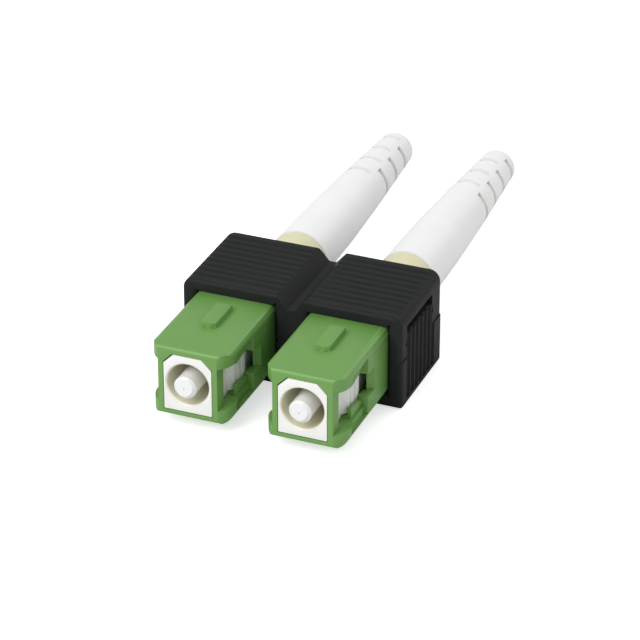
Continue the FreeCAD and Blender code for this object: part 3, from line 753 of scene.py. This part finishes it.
def soften_corners(piece, radius, planes, weigh):
    """Round, by weight, the edges that lie in the given (axis, level) planes."""
    mesh = piece.data
    points = [vertex.co for vertex in mesh.vertices]
    weights = mesh.attributes.new("bevel_weight_edge", "FLOAT", "EDGE")
    for edge in mesh.edges:
        ends = [points[index] for index in edge.vertices]
        axes = [
            axis for axis, level in planes if all(abs(end[axis] - level) < NEAR for end in ends)
        ]
        weights.data[edge.index].value = weigh(axes)
    bevel = piece.modifiers.new("soften", "BEVEL")
    bevel.width = radius / MM
    bevel.segments = 5
    bevel.limit_method = "WEIGHT"
    bevel.use_clamp_overlap = False


def round_edges(piece, radius, hard_angle=30.0):
    """Round the hard edges of a piece that is shaped in millimetres."""
    bevel = piece.modifiers.new("round", "BEVEL")
    bevel.width = radius / MM
    bevel.segments = 3
    bevel.limit_method = "ANGLE"
    bevel.angle_limit = math.radians(hard_angle)
    bevel.use_clamp_overlap = True
    bevel.harden_normals = False


def finished(piece, name, material, smooth_angle=40.0):
    """Turn a shaped piece into a plain mesh in metres, in place, with one finish."""
    bpy.context.view_layer.update()
    whole = piece.evaluated_get(bpy.context.evaluated_depsgraph_get())
    mesh = bpy.data.meshes.new_from_object(whole)
    bpy.data.objects.remove(piece)
    build = bmesh.new()
    build.from_mesh(mesh)
    bmesh.ops.remove_doubles(build, verts=build.verts, dist=WELD_PIECE)
    bmesh.ops.dissolve_degenerate(build, edges=build.edges, dist=SLIVER)
    bmesh.ops.recalc_face_normals(build, faces=build.faces)
    if not build.faces:
        raise RuntimeError(f"{name} came out empty")
    build.to_mesh(mesh)
    build.free()
    mesh.transform(Matrix.Scale(MM, 4))
    mesh.name = name
    mesh.materials.clear()
    mesh.materials.append(material)
    mesh.shade_smooth()
    mesh.set_sharp_from_angle(angle=math.radians(smooth_angle))
    made = bpy.data.objects.new(name, mesh)
    bpy.context.scene.collection.objects.link(made)
    return made


def register_piece(piece, node):
    """Let a finished piece stand for a CAD node."""
    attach(piece, BODY_OF[node])
    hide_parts(node)


def dress_node(node, material):
    """Give a CAD node that keeps its shape its finish."""
    for slot in frame["nodes"][node].material_slots:
        slot.link = "OBJECT"
        slot.material = material


class CONNECTOR_OT_housing(bpy.types.Operator):
    """Cut the grip grooves in both shells and round their edges"""

    bl_idname = "connector.housing"
    bl_label = "Housing"

    def execute(self, context):
        look = context.scene.connector_housing
        material = black_finish()
        for node, up in (("upper_shell", 1), ("lower_shell", -1)):
            low, high = box_mm(node)
            piece = copy_in_mm(node)
            planes = [
                (0, low.x), (0, high.x), (1, low.y), (1, high.y), (2, high.z if up > 0 else low.z)
            ]
            gap = look.opening_gap / MM
            for side in SIDES:
                sleeve_low, sleeve_high = box_mm(f"{side}_sleeve")
                planes += [(0, sleeve_low.x - gap), (0, sleeve_high.x + gap)]
                bottom = sleeve_low.z - gap
                planes.append((2, 2 * axis_mm(side).z - bottom if up > 0 else bottom))
            soften_corners(
                piece, look.corner_round, planes, lambda axes: float(len(axes) == 2)
            )
            face = high.z if up > 0 else low.z
            inner = look.top_inner / MM
            outer = (look.top_outer if up > 0 else look.bottom_outer) / MM
            use_tree(piece, groove_tree(), {
                "First": ((inner + outer) / 2, low.y + look.top_start / MM, face),
                "Outward": (0.0, 0.0, float(up)),
                "Turn": (0.0, math.pi / 2, 0.0),
                "Grooves": look.top_grooves,
                "Pitch": look.top_pitch / MM,
                "Width": look.top_width / MM,
                "Depth": look.top_depth / MM,
                "Length": outer - inner,
                "Material": material,
            })
            if up < 0:
                bottom = look.side_low / MM
                top = look.side_high / MM
                use_tree(piece, groove_tree(), {
                    "First": (high.x, low.y + look.side_start / MM, (bottom + top) / 2),
                    "Outward": (1.0, 0.0, 0.0),
                    "Turn": (0.0, 0.0, 0.0),
                    "Grooves": look.side_grooves,
                    "Pitch": look.side_pitch / MM,
                    "Width": look.side_width / MM,
                    "Depth": look.side_depth / MM,
                    "Length": top - bottom,
                    "Material": material,
                })
            round_edges(piece, look.edge_round)
            register_piece(finished(piece, f"{node}_moulding", material), node)
        return {"FINISHED"}


def shorten_key(piece, top, cut):
    """Move the rear of the key that stands on a sleeve's top forward."""
    points = [vertex.co for vertex in piece.data.vertices]
    key = [point for point in points if point.z > top + KEY_RISE]
    low = Vector(min(point[axis] for point in key) for axis in range(3))
    high = Vector(max(point[axis] for point in key) for axis in range(3))
    for point in points:
        over = low.x - NEAR < point.x < high.x + NEAR and point.z > top - NEAR
        if over and high.y - KEY_REAR < point.y < high.y + NEAR:
            point.y -= cut


class CONNECTOR_OT_sleeves(bpy.types.Operator):
    """Round the coupling sleeves' edges and colour them"""

    bl_idname = "connector.sleeves"
    bl_label = "Coupling sleeves"

    def execute(self, context):
        look = context.scene.connector_sleeve
        material = finish(
            "green_plastic", look.green, roughness=0.4, grain=9.0, depth=0.22, drift=0.06
        )
        for side in SIDES:
            node = f"{side}_sleeve"
            piece = copy_in_mm(node)
            low, high = box_mm(node)
            top = 2 * axis_mm(side).z - low.z
            shorten_key(piece, top, look.key_cut / MM)
            soften_corners(
                piece, look.corner_round,
                [(0, low.x), (0, high.x), (1, low.y), (2, low.z), (2, top)],
                lambda axes: SLEEVE_WEIGHTS.get(tuple(axes), 0.0),
            )
            round_edges(piece, look.edge_round)
            register_piece(finished(piece, f"{node}_moulding", material), node)
        return {"FINISHED"}


class CONNECTOR_OT_plugs(bpy.types.Operator):
    """Round the plug frames and rear bodies, and finish the pieces inside them"""

    bl_idname = "connector.plugs"
    bl_label = "Plug frames and rear bodies"

    def execute(self, context):
        look = context.scene.connector_plug
        white = white_finish()
        cream = finish(
            "cream_plastic", look.cream, roughness=0.42, grain=9.0, depth=0.15, drift=0.05
        )
        ceramic = finish(
            "ceramic", look.ceramic, roughness=0.12, grain=20.0, depth=0.02, drift=0.015
        )
        tube = finish(
            "tube_plastic", TUBE_WHITE, roughness=0.3, grain=12.0, depth=0.05, drift=0.04
        )
        metal = finish(
            "plated_metal", NICKEL, roughness=0.22, grain=30.0, depth=0.06, drift=0.05,
            Metallic=1.0,
        )
        steel = finish(
            "spring_steel", STEEL, roughness=0.3, grain=30.0, depth=0.08, drift=0.05,
            Metallic=1.0,
        )
        crimp = finish(
            "crimp_metal", NICKEL, roughness=0.3, grain=14.0, depth=0.2, drift=0.06,
            Metallic=1.0,
        )
        for side in SIDES:
            for kind, material, radius in (
                ("plug_frame", white, look.frame_round), ("rear_body", cream, look.barrel_round)
            ):
                node = f"{side}_{kind}"
                piece = copy_in_mm(node)
                round_edges(piece, radius)
                register_piece(finished(piece, f"{node}_moulding", material), node)
            for kind, material in (
                ("ferrule", ceramic), ("ferrule_holder", metal), ("guide_tube", tube),
                ("crimp_sleeve", crimp),
            ):
                dress_node(f"{side}_{kind}", material)
            node = f"{side}_spring"
            spring = finished(copy_in_mm(node), f"{node}_coil", steel)
            register_piece(spring, node)
            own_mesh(spring)
        return {"FINISHED"}


class CONNECTOR_OT_boots(bpy.types.Operator):
    """Grow both bend-relief boots from their sizes"""

    bl_idname = "connector.boots"
    bl_label = "Boots"

    def execute(self, context):
        look = context.scene.connector_boot
        material = elastomer_finish()
        for turn, side in enumerate(SIDES):
            node = f"{side}_boot"
            low, high = box_mm(node)
            piece = bpy.data.objects.new("shaping", bpy.data.meshes.new("shaping"))
            context.scene.collection.objects.link(piece)
            axis = axis_mm(side)
            use_tree(piece, boot_tree(), {
                "Front": (axis.x, low.y, axis.z),
                "Quarter Turn": float(turn),
                "Length": high.y - low.y,
                "Front Radius": (high.x - low.x) / 2,
                "Belly Radius": look.belly_radius / MM,
                "Waist Radius": look.waist_radius / MM,
                "Slots": look.slots,
                "Slot Start": look.slot_start / MM,
                "Slot Pitch": look.slot_pitch / MM,
                "Slot Width": look.slot_width / MM,
                "Slot Depth": look.slot_depth / MM,
                "First Sweep": look.side_sweep if turn else look.top_sweep,
                "Second Sweep": look.top_sweep if turn else look.side_sweep,
                "Material": material,
            })
            round_edges(piece, look.edge_round, hard_angle=25.0)
            register_piece(finished(piece, f"{node}_moulding", material), node)
        return {"FINISHED"}


# Half the floor's width, in metres, and how much of its white the camera sees as glow.
FLOOR_REACH = 3.0
FLOOR_GLOW = 0.6
# Each lamp's name, its place and width in metres, and its share of the key power.
LAMPS = (
    ("key", (-0.20, -0.40, 0.44), 0.45, 1.0),
    ("rim", (0.30, 0.40, 0.40), 0.35, 0.25),
)
# The point that the camera looks at, in millimetres.
CAMERA_TARGET = (3.40, -17.65, 8.99)


def lay_floor(scene):
    """A wide white floor that the camera sees a little brighter than the lamps make it."""
    mesh = bpy.data.meshes.new("floor")
    corners = [
        (across * FLOOR_REACH, along * FLOOR_REACH, 0)
        for across, along in ((-1, -1), (1, -1), (1, 1), (-1, 1))
    ]
    mesh.from_pydata(corners, [], [(0, 1, 2, 3)])
    floor = bpy.data.objects.new("floor", mesh)
    scene.collection.objects.link(floor)
    paper = bpy.data.materials.new("paper_floor")
    paper.use_nodes = True
    tree = paper.node_tree
    shader = tree.nodes["Principled BSDF"]
    shader.inputs["Base Color"].default_value = (0.82, 0.82, 0.82, 1.0)
    shader.inputs["Roughness"].default_value = 0.9
    shader.inputs["Specular IOR Level"].default_value = 0.1
    seen = add(tree, "ShaderNodeLightPath").outputs["Is Camera Ray"]
    glow = add(
        tree, "ShaderNodeEmission",
        {"Color": (1.0, 1.0, 1.0, 1.0), "Strength": maths(tree, "MULTIPLY", seen, FLOOR_GLOW)},
    )
    both = add(tree, "ShaderNodeAddShader", {0: shader.outputs[0], 1: glow.outputs[0]})
    tree.links.new(both.outputs[0], tree.nodes["Material Output"].inputs["Surface"])
    floor.data.materials.append(paper)


def light_world(scene, fill):
    """Light from all around that the camera sees as plain white."""
    world = bpy.data.worlds.new("studio")
    world.use_nodes = True
    tree = world.node_tree
    background = tree.nodes["Background"]
    background.inputs["Color"].default_value = (1.0, 1.0, 1.0, 1.0)
    seen = add(tree, "ShaderNodeLightPath").outputs["Is Camera Ray"]
    rest = maths(tree, "MULTIPLY", seen, 1.0 - fill)
    tree.links.new(maths(tree, "ADD", rest, fill), background.inputs["Strength"])
    scene.world = world


def hang_lamps(scene, power):
    for name, place, size, part in LAMPS:
        data = bpy.data.lights.new(name, "AREA")
        data.shape = "DISK"
        data.size = size
        data.energy = power * part
        lamp = bpy.data.objects.new(name, data)
        lamp.location = place
        lamp.rotation_euler = Vector(place).to_track_quat("Z", "Y").to_euler()
        scene.collection.objects.link(lamp)


def place_camera(scene, look):
    data = bpy.data.cameras.new("camera")
    data.lens = look.lens
    data.sensor_width = 36.0
    data.clip_start = 0.01
    camera = bpy.data.objects.new("camera", data)
    flat = math.cos(look.elevation)
    back = Vector((
        math.sin(look.azimuth) * flat, -math.cos(look.azimuth) * flat,
        math.sin(look.elevation),
    ))
    camera.location = Vector(CAMERA_TARGET) * MM + back * look.distance
    camera.rotation_euler = back.to_track_quat("Z", "Y").to_euler()
    scene.collection.objects.link(camera)
    scene.camera = camera


class CONNECTOR_OT_stage(bpy.types.Operator):
    """Set up the floor, the lamps, the world and the camera"""

    bl_idname = "connector.stage"
    bl_label = "Stage"

    def execute(self, context):
        look = context.scene.connector_stage
        context.scene.view_settings.view_transform = "Standard"
        lay_floor(context.scene)
        light_world(context.scene, look.fill)
        hang_lamps(context.scene, look.key_power)
        place_camera(context.scene, look)
        return {"FINISHED"}


class CONNECTOR_PT_pieces(bpy.types.Panel):
    """The connector's pieces"""

    bl_label = "Connector"
    bl_idname = "CONNECTOR_PT_pieces"
    bl_space_type = "VIEW_3D"
    bl_region_type = "UI"
    bl_category = "Connector"

    def draw(self, context):
        for operator in OPERATORS:
            self.layout.operator(operator.bl_idname)


OPERATORS = (
    CONNECTOR_OT_housing,
    CONNECTOR_OT_sleeves,
    CONNECTOR_OT_plugs,
    CONNECTOR_OT_boots,
    CONNECTOR_OT_stage,
)


def register():
    for kind in (*LOOKS.values(), *OPERATORS, CONNECTOR_PT_pieces):
        bpy.utils.register_class(kind)
    for name, kind in LOOKS.items():
        setattr(bpy.types.Scene, name, bpy.props.PointerProperty(type=kind))


def unregister():
    for name in LOOKS:
        delattr(bpy.types.Scene, name)
    for kind in (CONNECTOR_PT_pieces, *OPERATORS, *LOOKS.values()):
        bpy.utils.unregister_class(kind)


def main():
    register()
    bpy.ops.connector.housing()
    bpy.ops.connector.sleeves()
    bpy.ops.connector.plugs()
    bpy.ops.connector.boots()
    bpy.ops.connector.stage()


if __name__ == "__main__":
    main()
